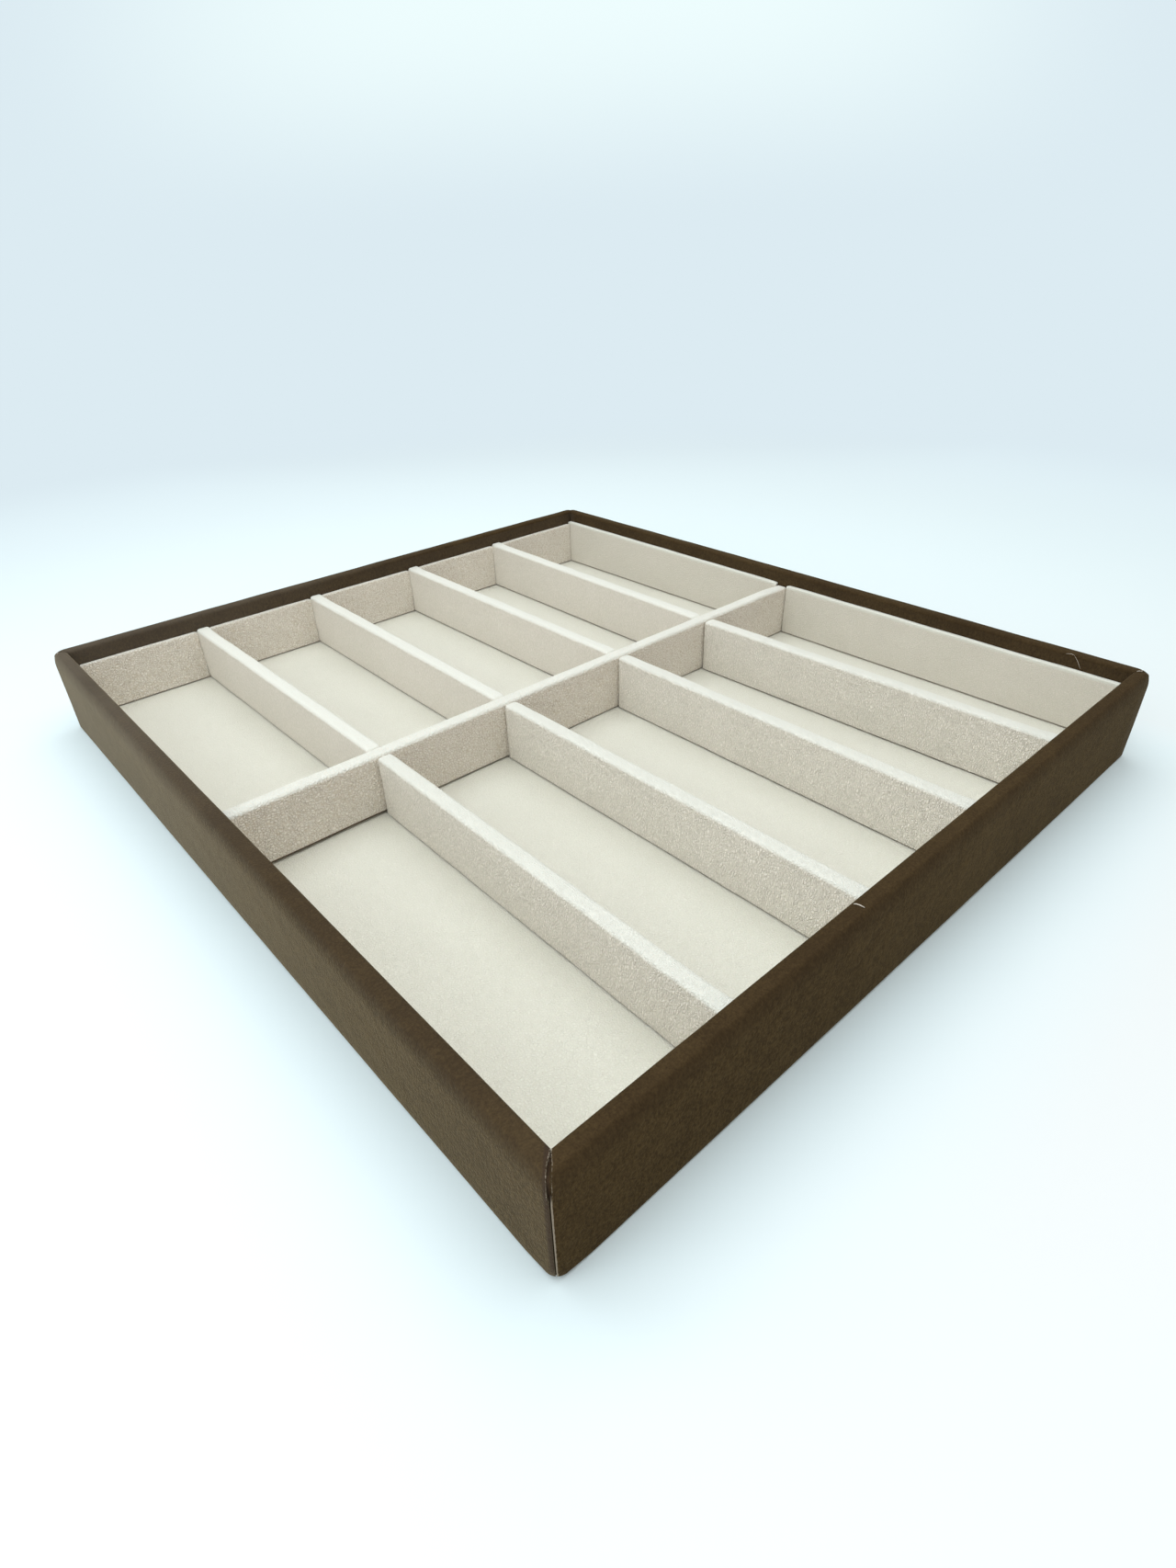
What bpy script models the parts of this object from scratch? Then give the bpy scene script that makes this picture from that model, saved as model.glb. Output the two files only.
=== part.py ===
"""Display tray for ten pairs of glasses: a shallow open box of covered boards.

Four mitred wall boards stand round a base board and are wrapped in brown suede cloth. A long
divider, the spine, and eight short ones part the inside into two rows of five pockets. A covered
floor card lies under the dividers, and covered cards line the walls between them. Dividers, floor
and linings are covered in cream leatherette.

Metres, +Z up. X runs left to right and Y front to back. The origin is the middle of the
underside. The pieces are glued together and nothing moves.
"""
import math

import bmesh
import bpy
from mathutils import Vector

# Outside of the tray
OUTER_WIDTH = 0.316
OUTER_LENGTH = 0.350
OUTER_HEIGHT = 0.0384

# Room between two pieces that touch, and what each wrap is cut back at a corner
GLUE_GAP = 0.0003
SEAM_ALLOWANCE = 0.0003

# Walls: a board inside a cloth wrap that turns in under the base
WALL_BOARD_THICKNESS = 0.0040
WRAP_THICKNESS = 0.0007
WRAP_TURN_IN = 0.0080
RIM_OUTER_RADIUS = 0.0020
RIM_INNER_RADIUS = 0.0013
FOOT_RADIUS = 0.0009

# Base and floor, from the table up
BASE_BOARD_THICKNESS = 0.0030
FLOOR_CARD_THICKNESS = 0.0010
FLOOR_COVER_THICKNESS = 0.0010

# Dividers: a core board inside a leatherette cover, the spine's height above the floor, and how
# far the row dividers stop below the spine
CORE_THICKNESS = 0.0036
COVER_THICKNESS = 0.0009
COVER_RADIUS = 0.0013
SPINE_HEIGHT = 0.0254
ROW_DIVIDER_DROP = 0.0001

# Wall linings: a card behind a leatherette skin that folds over its top edge, and how far each
# wall's linings stop below the spine or stand above it
LINING_CARD_THICKNESS = 0.0007
LINING_SKIN_THICKNESS = 0.0007
LINING_RADIUS = 0.0006
FRONT_LINING_DROP = 0.0004
RIGHT_LINING_RISE = 0.0004
BACK_LINING_DROP = 0.0010
LEFT_LINING_DROP = 0.0004

# How far the maker's hand set each divider from even spacing: row dividers as shares of a
# pocket's width, at the spine and at the front and back walls, and the spine's two ends as shares
# of a pocket's length
JOINT_SHIFT_SHARES = (0.010, -0.035, 0.007, -0.060)
FRONT_SHIFT_SHARES = (-0.030, -0.038, -0.007, -0.005)
BACK_SHIFT_SHARES = (-0.005, -0.007, -0.005, -0.027)
SPINE_SHIFT_SHARES = (0.012, -0.004)

# Steps in a rounded edge, the distance below which two corners are one, and the bend from which
# an edge is drawn sharp
ARC_STEPS = 4
MERGE_DISTANCE = 0.000001
SHARP_EDGE_DEGREES = 35

# Sizes worked out from the ones above
SKIN = WRAP_THICKNESS + GLUE_GAP
WALL_THICKNESS = WALL_BOARD_THICKNESS + 2 * SKIN
LINING_BACK = WALL_THICKNESS + GLUE_GAP
LINING_SKIN_BACK = LINING_BACK + LINING_CARD_THICKNESS + GLUE_GAP
LINING_FACE = LINING_SKIN_BACK + LINING_SKIN_THICKNESS
SLEEVE = COVER_THICKNESS + GLUE_GAP
DIVIDER_THICKNESS = CORE_THICKNESS + 2 * SLEEVE

BASE_BOTTOM = SKIN
BASE_TOP = BASE_BOTTOM + BASE_BOARD_THICKNESS
FLOOR_CARD_BOTTOM = BASE_TOP + GLUE_GAP
FLOOR_CARD_TOP = FLOOR_CARD_BOTTOM + FLOOR_CARD_THICKNESS
FLOOR_COVER_BOTTOM = FLOOR_CARD_TOP + GLUE_GAP
FLOOR_TOP = FLOOR_COVER_BOTTOM + FLOOR_COVER_THICKNESS
STANDING_BOTTOM = FLOOR_TOP + GLUE_GAP

ROW_DIVIDERS = len(JOINT_SHIFT_SHARES)
POCKET_WIDTH = ((OUTER_WIDTH - 2 * LINING_FACE - ROW_DIVIDERS * DIVIDER_THICKNESS)
                / (ROW_DIVIDERS + 1))
POCKET_LENGTH = (OUTER_LENGTH - 2 * LINING_FACE - DIVIDER_THICKNESS) / 2

# The walls, each a quarter turn on from the one before: its length, the tray's size across it, and
# the height of its linings above the floor
SIDES = {
    "front": (OUTER_WIDTH, OUTER_LENGTH, SPINE_HEIGHT - FRONT_LINING_DROP),
    "right": (OUTER_LENGTH, OUTER_WIDTH, SPINE_HEIGHT + RIGHT_LINING_RISE),
    "back": (OUTER_WIDTH, OUTER_LENGTH, SPINE_HEIGHT - BACK_LINING_DROP),
    "left": (OUTER_LENGTH, OUTER_WIDTH, SPINE_HEIGHT - LEFT_LINING_DROP),
}

# Finishes: linear colour and roughness
SUEDE = ((0.060, 0.043, 0.022), 0.95)
LEATHERETTE = ((0.66, 0.63, 0.55), 0.62)
BOARD = ((0.42, 0.30, 0.18), 0.85)
GREY_CARD = ((0.36, 0.35, 0.32), 0.90)
BASE_PAPER = ((0.045, 0.038, 0.030), 0.92)


def clear_scene():
    """Start from an empty scene."""
    for old in list(bpy.data.objects):
        bpy.data.objects.remove(old, do_unlink=True)


def add_piece(name, points, faces, finish):
    """One named object with its own material, closed, its faces pointing out."""
    shape = bmesh.new()
    corners = [shape.verts.new(point) for point in points]
    for face in faces:
        shape.faces.new([corners[index] for index in face])
    bmesh.ops.remove_doubles(shape, verts=shape.verts, dist=MERGE_DISTANCE)
    bmesh.ops.recalc_face_normals(shape, faces=shape.faces)
    mesh = bpy.data.meshes.new(name)
    shape.to_mesh(mesh)
    shape.free()
    mesh.shade_smooth()
    mesh.set_sharp_from_angle(angle=math.radians(SHARP_EDGE_DEGREES))

    colour, roughness = finish
    material = bpy.data.materials.new(name)
    material.use_nodes = True
    shader = material.node_tree.nodes["Principled BSDF"]
    shader.inputs["Base Color"].default_value = (*colour, 1.0)
    shader.inputs["Roughness"].default_value = roughness
    shader.inputs["Metallic"].default_value = 0.0
    mesh.materials.append(material)

    piece = bpy.data.objects.new(name, mesh)
    bpy.context.scene.collection.objects.link(piece)
    return piece


def add_loft(name, outlines, finish):
    """Join a stack of outlines, each of as many points, closed at the first and the last."""
    count = len(outlines[0])
    points = [point for outline in outlines for point in outline]
    faces = [range(count), range(len(points) - count, len(points))]
    for low in range(0, len(points) - count, count):
        for here in range(count):
            after = (here + 1) % count
            faces.append((low + here, low + after, low + count + after, low + count + here))
    return add_piece(name, points, faces, finish)


def limited(radius, room):
    """A radius no larger than the room for it, and never below zero."""
    return max(0, min(radius, room))


def arc(centre, radius, quarter):
    """Points on a quarter circle, clockwise, that ends at that quarter turn past +X."""
    turns = [quarter + 1 - step / ARC_STEPS for step in range(ARC_STEPS + 1)]
    return [(centre[0] + radius * math.cos(turn * math.pi / 2),
             centre[1] + radius * math.sin(turn * math.pi / 2)) for turn in turns]


def add_bar(name, section, start, end, side, finish, mitre=0):
    """A bar along a wall, with its section as (inset from the wall's outer face, height).

    start and end are places along the wall. With mitre 1 the bar's ends slope in with the inset.
    """
    outer_face = -SIDES[side][1] / 2
    outlines = [[(start + mitre * inset, outer_face + inset, height) for inset, height in section],
                [(end - mitre * inset, outer_face + inset, height) for inset, height in section]]
    piece = add_loft(name, outlines, finish)
    piece.rotation_euler.z = list(SIDES).index(side) * math.pi / 2
    return piece


def wrap_section():
    """Cloth round a wall board: outer face, rim and inner face, then back down its inner side."""
    foot = limited(FOOT_RADIUS, WALL_THICKNESS / 2)
    outer = limited(RIM_OUTER_RADIUS, WALL_THICKNESS / 2)
    inner = limited(RIM_INNER_RADIUS, WALL_THICKNESS / 2)
    foot_bend = limited(foot - WRAP_THICKNESS, foot)
    outer_bend = limited(outer - WRAP_THICKNESS, outer)
    inner_bend = limited(inner - WRAP_THICKNESS, inner)
    back = WALL_THICKNESS - WRAP_THICKNESS
    under_rim = OUTER_HEIGHT - WRAP_THICKNESS
    leg_bottom = BASE_TOP + GLUE_GAP

    outside = [(WRAP_TURN_IN, 0)]
    outside += arc((foot, foot), foot, 2)
    outside += arc((outer, OUTER_HEIGHT - outer), outer, 1)
    outside += arc((WALL_THICKNESS - inner, OUTER_HEIGHT - inner), inner, 0)
    outside += [(WALL_THICKNESS, leg_bottom)]
    inside = [(WRAP_TURN_IN, WRAP_THICKNESS)]
    inside += arc((WRAP_THICKNESS + foot_bend, WRAP_THICKNESS + foot_bend), foot_bend, 2)
    inside += arc((WRAP_THICKNESS + outer_bend, under_rim - outer_bend), outer_bend, 1)
    inside += arc((back - inner_bend, under_rim - inner_bend), inner_bend, 0)
    inside += [(back, leg_bottom)]
    return outside + inside[::-1]


def board_section():
    """A wall board inside its wrap, the top edges eased to follow the wrap's bends."""
    top = OUTER_HEIGHT - SKIN
    inner_face = WALL_THICKNESS - SKIN
    outer = limited(RIM_OUTER_RADIUS - SKIN, WALL_BOARD_THICKNESS / 2)
    inner = limited(RIM_INNER_RADIUS - SKIN, WALL_BOARD_THICKNESS / 2)
    section = [(inner_face, BASE_BOTTOM), (SKIN, BASE_BOTTOM)]
    section += arc((SKIN + outer, top - outer), outer, 1)
    section += arc((inner_face - inner, top - inner), inner, 0)
    return section


def add_walls():
    """Four wall boards and their cloth wraps, mitred at the corners."""
    for side, (run, *_) in SIDES.items():
        start = SEAM_ALLOWANCE - run / 2
        add_bar(f"wall_board_{side}", board_section(), start, -start, side, BOARD, mitre=1)
        add_bar(f"wall_wrap_{side}", wrap_section(), start, -start, side, SUEDE, mitre=1)


def outline(half_width, half_length, radius, height):
    """Points of a rectangle with round corners, at one height."""
    corners = ((half_width, half_length, 0), (half_width, -half_length, -1),
               (-half_width, -half_length, -2), (-half_width, half_length, -3))
    points = []
    for x, y, quarter in corners:
        centre = (x - math.copysign(radius, x), y - math.copysign(radius, y))
        points += [(*point, height) for point in arc(centre, radius, quarter)]
    return points


def add_plate(name, width, length, bottom, top, finish):
    """A flat rectangular board, card or sheet round its own middle."""
    levels = [outline(width / 2, length / 2, 0, height) for height in (bottom, top)]
    return add_loft(name, levels, finish)


def add_base_and_floor():
    """Underside paper, base board, floor card and the floor's leatherette, from the table up."""
    board_inset = WALL_THICKNESS - WRAP_THICKNESS
    layers = (
        ("underside_paper", WRAP_TURN_IN + GLUE_GAP, 0, WRAP_THICKNESS, BASE_PAPER),
        ("base_board", board_inset, BASE_BOTTOM, BASE_TOP, BOARD),
        ("floor_card", LINING_BACK, FLOOR_CARD_BOTTOM, FLOOR_CARD_TOP, GREY_CARD),
        ("floor_cover", LINING_BACK, FLOOR_COVER_BOTTOM, FLOOR_TOP, LEATHERETTE),
    )
    for name, inset, bottom, top, finish in layers:
        add_plate(name, OUTER_WIDTH - 2 * inset, OUTER_LENGTH - 2 * inset, bottom, top, finish)


def spine_line():
    """The two places where the spine's middle line meets the left and right walls."""
    reach = OUTER_WIDTH / 2 - WALL_THICKNESS
    left, right = (share * POCKET_LENGTH for share in SPINE_SHIFT_SHARES)
    return Vector((-reach, left)), Vector((reach, right))


def row_divider_line(row, number):
    """Where a row divider's middle line meets its wall and the spine's face; number from 0."""
    even = (LINING_FACE + (number + 1) * POCKET_WIDTH + (number + 0.5) * DIVIDER_THICKNESS
            - OUTER_WIDTH / 2)
    wall_shares = FRONT_SHIFT_SHARES if row == "front" else BACK_SHIFT_SHARES
    toward_wall = -1 if row == "front" else 1
    wall_place = Vector((even + wall_shares[number] * POCKET_WIDTH,
                         toward_wall * (OUTER_LENGTH / 2 - WALL_THICKNESS)))
    left, right = spine_line()
    joint_x = even + JOINT_SHIFT_SHARES[number] * POCKET_WIDTH
    along = (joint_x - left.x) / (right.x - left.x)
    spine_slant = (right - left).normalized().x
    joint_y = left.lerp(right, along).y + toward_wall * DIVIDER_THICKNESS / 2 / spine_slant
    return wall_place, Vector((joint_x, joint_y))


def add_divider(kind, suffix, start, end, faces_met, height):
    """A core board and the cover round it, standing on the floor between start and end.

    faces_met are the directions in which the faces at its two ends run: each end is cut back so
    that its corners clear them. The cover is a sleeve, closed at both ends and on top.
    """
    run = (end - start).normalized()
    cuts = [GLUE_GAP + DIVIDER_THICKNESS / 2 * abs(run.dot(face)) for face in faces_met]
    start = start + run * cuts[0]
    end = end - run * cuts[1]
    length = (end - start).length
    top = FLOOR_TOP + height
    radius = limited(COVER_RADIUS, DIVIDER_THICKNESS / 2)
    inner_radius = limited(radius - COVER_THICKNESS, radius)

    levels = []
    for step in range(ARC_STEPS, -1, -1):
        angle = step / ARC_STEPS * math.pi / 2
        drawn_in = radius * (1 - math.cos(angle))
        levels.append(outline(DIVIDER_THICKNESS / 2 - drawn_in, length / 2 - drawn_in,
                              radius - drawn_in, top - radius * (1 - math.sin(angle))))
    levels.append(outline(DIVIDER_THICKNESS / 2, length / 2, radius, STANDING_BOTTOM))
    for level in (STANDING_BOTTOM, top - COVER_THICKNESS):
        levels.append(outline(DIVIDER_THICKNESS / 2 - COVER_THICKNESS,
                              length / 2 - COVER_THICKNESS, inner_radius, level))
    cover = add_loft(f"{kind}_cover{suffix}", levels, LEATHERETTE)
    core = add_plate(f"{kind}_core{suffix}", CORE_THICKNESS, length - 2 * SLEEVE,
                     STANDING_BOTTOM, top - SLEEVE, BOARD)
    middle = (start + end) / 2
    for piece in (cover, core):
        piece.location = (middle.x, middle.y, 0)
        piece.rotation_euler.z = math.atan2(-run.x, run.y)


def add_dividers():
    """The spine from wall to wall, and a row of short dividers on each side of it."""
    left, right = spine_line()
    side_wall = Vector((0, 1))
    end_wall = Vector((1, 0))
    spine_run = (right - left).normalized()
    add_divider("spine", "", left, right, (side_wall, side_wall), SPINE_HEIGHT)
    for row in ("front", "back"):
        for number in range(ROW_DIVIDERS):
            wall_place, joint = row_divider_line(row, number)
            add_divider(f"{row}_divider", f"_{number + 1}", wall_place, joint,
                        (end_wall, spine_run), SPINE_HEIGHT - ROW_DIVIDER_DROP)


def divider_marks(side):
    """Where dividers meet a wall: their places along it and how far each slants across it."""
    if side in ("left", "right"):
        left, right = spine_line()
        place = left if side == "left" else right
        return [(place.y, (right.y - left.y) / (right.x - left.x))]
    marks = []
    for number in range(ROW_DIVIDERS):
        wall_place, joint = row_divider_line(side, number)
        marks.append((wall_place.x, (joint.x - wall_place.x) / (joint.y - wall_place.y)))
    return marks


def lining_spans(side):
    """Free stretches of a wall between its corners and the dividers that meet it."""
    corner_inset = LINING_BACK if side in ("left", "right") else LINING_FACE + GLUE_GAP
    reach = SIDES[side][0] / 2 - corner_inset
    edges = [-reach]
    for place, slant in divider_marks(side):
        half = (DIVIDER_THICKNESS / 2 * math.hypot(1, slant)
                + (LINING_FACE - WALL_THICKNESS) * abs(slant) + GLUE_GAP)
        edges += [place - half, place + half]
    edges.append(reach)
    return list(zip(edges[::2], edges[1::2]))


def add_linings():
    """A card and its leatherette skin in each free stretch, numbered along +X or +Y."""
    for side, (_, _, height) in SIDES.items():
        top = FLOOR_TOP + height
        card_top = top - LINING_SKIN_THICKNESS - GLUE_GAP
        card_front = LINING_BACK + LINING_CARD_THICKNESS
        card = [(LINING_BACK, STANDING_BOTTOM), (LINING_BACK, card_top),
                (card_front, card_top), (card_front, STANDING_BOTTOM)]
        radius = limited(LINING_RADIUS, (LINING_FACE - LINING_BACK) / 2)
        skin = [(LINING_BACK, top - LINING_SKIN_THICKNESS), (LINING_BACK, top)]
        skin += arc((LINING_FACE - radius, top - radius), radius, 0)
        skin += [(LINING_FACE, STANDING_BOTTOM), (LINING_SKIN_BACK, STANDING_BOTTOM),
                 (LINING_SKIN_BACK, top - LINING_SKIN_THICKNESS)]
        for number, (start, end) in enumerate(lining_spans(side), start=1):
            if side in ("back", "left"):
                start, end = -end, -start
            add_bar(f"lining_card_{side}_{number}", card, start, end, side, GREY_CARD)
            add_bar(f"lining_skin_{side}_{number}", skin, start, end, side, LEATHERETTE)


def build():
    """Make the whole tray."""
    clear_scene()
    add_walls()
    add_base_and_floor()
    add_dividers()
    add_linings()


build()
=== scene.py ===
"""Looks of a glasses display tray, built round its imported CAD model.

The tray is a shallow box of wrapped boards: suede cloth on the four walls, cream leatherette on the
floor, the long spine, the eight row dividers and the linings between them. Every piece is made in
mesh code in metres, where the CAD has it, and has a procedural finish. The file is laid out as an
add-on and is run as a script.
"""

import math

import bmesh
import bpy
from bpy.props import FloatProperty, FloatVectorProperty, PointerProperty
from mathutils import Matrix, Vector, noise


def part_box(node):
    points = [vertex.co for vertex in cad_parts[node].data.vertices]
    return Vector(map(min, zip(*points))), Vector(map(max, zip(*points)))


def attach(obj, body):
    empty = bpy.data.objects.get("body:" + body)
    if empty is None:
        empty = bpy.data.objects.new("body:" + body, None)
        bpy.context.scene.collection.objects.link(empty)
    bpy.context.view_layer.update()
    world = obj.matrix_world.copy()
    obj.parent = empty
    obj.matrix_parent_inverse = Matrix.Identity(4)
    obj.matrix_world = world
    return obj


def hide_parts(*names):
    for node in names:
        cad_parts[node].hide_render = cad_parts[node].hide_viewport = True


bl_info = {
    "name": "Glasses display tray",
    "version": (1, 0, 0),
    "blender": (4, 5, 0),
    "location": "3D View > Sidebar > Tray",
    "description": "Dresses the packed tray in suede and leatherette and sets it on a pale table",
    "category": "Object",
}

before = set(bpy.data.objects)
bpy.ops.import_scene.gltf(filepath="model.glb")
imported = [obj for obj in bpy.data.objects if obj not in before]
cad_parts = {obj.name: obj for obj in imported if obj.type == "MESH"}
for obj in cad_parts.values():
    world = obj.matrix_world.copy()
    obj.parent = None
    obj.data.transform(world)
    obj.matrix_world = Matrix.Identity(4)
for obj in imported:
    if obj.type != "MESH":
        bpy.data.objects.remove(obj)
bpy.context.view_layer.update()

BODY = "root"

# Walls in order, each a quarter turn on from the one before, with the corners that it runs between
WALL_CORNERS = {"front": ("near", "right"), "right": ("right", "far"),
                "back": ("far", "left"), "left": ("left", "near")}
WALLS = list(WALL_CORNERS)
ROW_DIVIDERS = (1, 2, 3, 4)
SHARP_EDGE = math.radians(38)
MILLIMETRE = 0.001
MIDDLE = (0, 0, 0)
DAYLIGHT = (0.87, 0.96, 1.0)
CAMERA_HEADING = math.radians(42)

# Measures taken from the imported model; those of the walls count inward from the outer face
HALF_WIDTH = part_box("wall_wrap_right")[1].x
HALF_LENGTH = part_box("wall_wrap_back")[1].y
RIM_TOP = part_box("wall_wrap_front")[1].z
LINING_BACK = HALF_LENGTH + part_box("lining_card_front_1")[0].y
LINING_FACE = HALF_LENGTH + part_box("lining_skin_front_1")[1].y
BOARD_FACE = HALF_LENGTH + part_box("wall_board_front")[0].y
BOARD_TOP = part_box("wall_board_front")[1].z
BOARD_BACK = HALF_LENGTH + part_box("wall_board_front")[1].y
WALL_THICKNESS = BOARD_FACE + BOARD_BACK
LEG_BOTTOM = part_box("floor_card")[0].z
TURN_IN = HALF_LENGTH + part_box("wall_wrap_front")[1].y
FLOOR_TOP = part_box("floor_cover")[1].z
STANDING_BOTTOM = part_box("spine_cover")[0].z
STANDING_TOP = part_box("spine_cover")[1].z

# Six loose threads: lint on the front rim, a fibre over the right one and beside it, frays at the
# right and left corners. Each has its place above the rim, way, length, lift, sideways and radius
THREADS = (
    ((-0.0464, -0.1701, 0.00005), (0.36, -0.93, 0), 0.0029, 0.00045, 0.0002, 0.00016),
    ((0.1514, -0.1470, -0.0005), (-0.05, -0.6, -0.8), 0.0056, 0.0002, -0.0003, 0.00007),
    ((0.1516, -0.1470, -0.0004), (-0.1, 1, 0), 0.0036, 0.0004, 0.0003, 0.00007),
    ((0.1525, -0.1700, 0.00005), (1, -0.9, 0), 0.0022, 0.0003, 0.0002, 0.00014),
    ((0.1540, -0.1712, 0.00005), (1, -0.2, 0), 0.0014, 0.0002, -0.0002, 0.00010),
    ((-0.1560, 0.1694, 0.00005), (0.4, 1, 0), 0.0012, 0.0002, 0.0002, 0.00012))


# Small sums

def linear(red, green, blue):
    """A linear colour from its 0 to 255 display values."""
    shares = (value / 255 for value in (red, green, blue))
    return tuple(share / 12.92 if share <= 0.04045 else ((share + 0.055) / 1.055) ** 2.4
                 for share in shares)


def ease(low, high, value):
    """0 below low, 1 above high and a soft step between them; low may be the larger one."""
    share = min(max((value - low) / (high - low), 0), 1)
    return share * share * (3 - 2 * share)


def wobble(size, pitch, *place):
    """A smooth uneven amount between -size and size that changes over about the pitch."""
    return size * noise.noise(Vector(place) / pitch)


def spread(low, high, pitch):
    """Even places from low to high, about a pitch apart."""
    count = max(1, round(abs(high - low) / pitch))
    return [low + (high - low) * step / count for step in range(count + 1)]


def bend(centre, radii, start, end, steps):
    """Points on an ellipse's arc between two angles in degrees."""
    angles = [math.radians(start + (end - start) * step / steps) for step in range(steps + 1)]
    return [(centre[0] + radii[0] * math.cos(angle), centre[1] + radii[1] * math.sin(angle))
            for angle in angles]


# Sizes, colours and light that a user may change

def length_setting(name, description, default, low, high):
    """A setting that holds a length."""
    return FloatProperty(name=name, description=description, default=default, min=low, max=high,
                         precision=5, unit="LENGTH")


def colour_setting(name, description, *shown):
    """A setting that holds a colour, from its 0 to 255 display values."""
    return FloatVectorProperty(name=name, description=description, default=linear(*shown),
                               subtype="COLOR", size=3, min=0, max=1)


def power_setting(name, description, default, high):
    """A setting that holds a light's power."""
    return FloatProperty(name=name, description=description, default=default, min=0, max=high,
                         unit="POWER")


class TraySizes(bpy.types.PropertyGroup):
    """Sizes of the cloth, leatherette and hand work."""
    wrap_thickness: length_setting(
        "Suede thickness", "Thickness of the cloth on the walls", 0.0007, 0.0003, 0.001)
    shoulder_width: length_setting(
        "Shoulder width", "How far the cloth's outer top edge rounds inward", 0.0021, 0.001, 0.003)
    shoulder_height: length_setting(
        "Shoulder height", "How far down the outer face the top edge rounds", 0.0065, 0.002, 0.009)
    inner_edge: length_setting("Inner edge", "Radius of the rim's inner edge", 0.0013, 0.0008, 0.002)
    foot_radius: length_setting(
        "Foot radius", "Radius of the cloth's bend under the base", 0.0009, 0.0008, 0.002)
    wall_bow: length_setting(
        "Wall bow", "How far the cloth stands out at the middle of a wall", 0.0005, 0, 0.001)
    near_corner: length_setting(
        "Near corner", "Radius of the near corner, seen from above", 0.0020, 0.001, 0.004)
    other_corners: length_setting(
        "Other corners", "Radius of the three other corners, seen from above", 0.0036, 0.001, 0.005)
    cover_radius: length_setting(
        "Divider edge", "Radius of a divider's top edges and ends", 0.0014, 0.001, 0.0025)
    cover_thickness: length_setting(
        "Leatherette thickness", "Thickness of the leatherette on the dividers",
        0.0007, 0.0005, 0.001)
    lining_edge: length_setting(
        "Lining edge", "Radius of the fold on top of a wall lining", 0.0008, 0.0003, 0.0012)
    handwork: length_setting("Handwork", "How uneven the covered edges are", 0.00014, 0, 0.0004)
    pebble: length_setting(
        "Pebble", "Size of one pebble in the leatherette's grain", 0.0009, 0.0005, 0.003)


class TrayColours(bpy.types.PropertyGroup):
    """Colours of the tray's finishes."""
    suede: colour_setting("Suede", "Nap that lies flat", 54, 40, 21)
    suede_raised: colour_setting("Raised nap", "Nap that stands up", 79, 63, 38)
    # Dust and painted sheen: this pale grey also stands for the nap's grazing sheen toward the back
    # left
    dust_and_sheen: colour_setting("Dust", "Pale dust in the nap, most of it at the back left", 124, 120, 114)
    raw_edge: colour_setting("Raw edge", "Pale cut edge of the suede", 168, 156, 140)
    # Painted shade: the darker purple brown where the cloth turns into the near corner's seam
    seam_groove_shade: colour_setting(
        "Turned edge", "Rubbed purple brown of the suede's turned edge", 58, 45, 36)
    # Cream leatherette; the upright covers' warmer tones are painted light, bounced warm between
    # them
    leatherette: colour_setting("Leatherette", "Top of the leatherette's grain", 249, 243, 233)
    crease: colour_setting("Crease", "Bottom of the leatherette's grain", 207, 194, 175)
    taut_leatherette: colour_setting(
        "Taut leatherette", "Top of the grain on the back dividers and right wall", 243, 236, 228)
    floor_leatherette: colour_setting(
        "Floor leatherette", "Top of the grain on the floor", 234, 232, 221)
    smooth_crease: colour_setting(
        "Smooth crease", "Bottom of the grain where it is pressed or pulled flat", 214, 211, 197)
    # Painted highlight: the paler, cooler colour of the covers' top edges, as lit from above
    fold: colour_setting("Fold", "Leatherette stretched pale over the top edges", 229, 231, 223)
    # Painted shade: the dark line at the feet of the dividers and linings, where the gap under them
    # is shaded
    foot_shade: colour_setting("Glue line", "Glue at the foot of the dividers and linings", 118, 102, 84)
    board: colour_setting("Board", "Bare fibreboard inside the tray", 172, 148, 117)
    card: colour_setting("Card", "Grey card behind the linings", 160, 158, 152)
    paper: colour_setting("Underside paper", "Paper under the base", 60, 55, 49)


class TrayStage(bpy.types.PropertyGroup):
    """Table, light and camera."""
    table: colour_setting("Table", "Pale table top", 238, 242, 244)
    # Painted shadow: close round the tray this cooler colour stands for the tray's soft shadow
    table_shade: colour_setting(
        "Table by the tray", "Cooler table top close to the tray and behind it", 234, 249, 254)
    table_end: colour_setting("Table end", "The table where it meets the background", 227, 243, 250)
    haze: colour_setting("Background", "Pale background beyond the table", 220, 235, 242)
    upper_haze: colour_setting(
        "Upper background", "Lighter middle of the background's upper part", 238, 253, 254)
    overhead_power: power_setting(
        "Overhead light", "Power of the large soft light above the tray", 9.9, 200)
    side_power: power_setting("Side light", "Power of the soft light to the left", 1.3, 100)
    back_power: power_setting("Back light", "Power of the low light behind, to the left", 1.8, 100)
    fill: FloatProperty(
        name="Fill", description="Strength of the light from all round", default=0.48,
        min=0, max=2)


# Shader maths as Python expressions

class Tone:
    """One socket of a finish, which plain operators join to others or to numbers."""

    def __init__(self, recipe, socket):
        self.recipe = recipe
        self.socket = socket

    def __add__(self, other):
        return self.recipe.maths("ADD", self, other)

    def __sub__(self, other):
        return self.recipe.maths("SUBTRACT", self, other)

    def __rsub__(self, other):
        return self.recipe.maths("SUBTRACT", other, self)

    def __mul__(self, other):
        return self.recipe.maths("MULTIPLY", self, other)

    def __truediv__(self, other):
        return self.recipe.maths("DIVIDE", self, other)

    def __abs__(self):
        return self.recipe.maths("ABSOLUTE", self)

    __radd__ = __add__
    __rmul__ = __mul__


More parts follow.
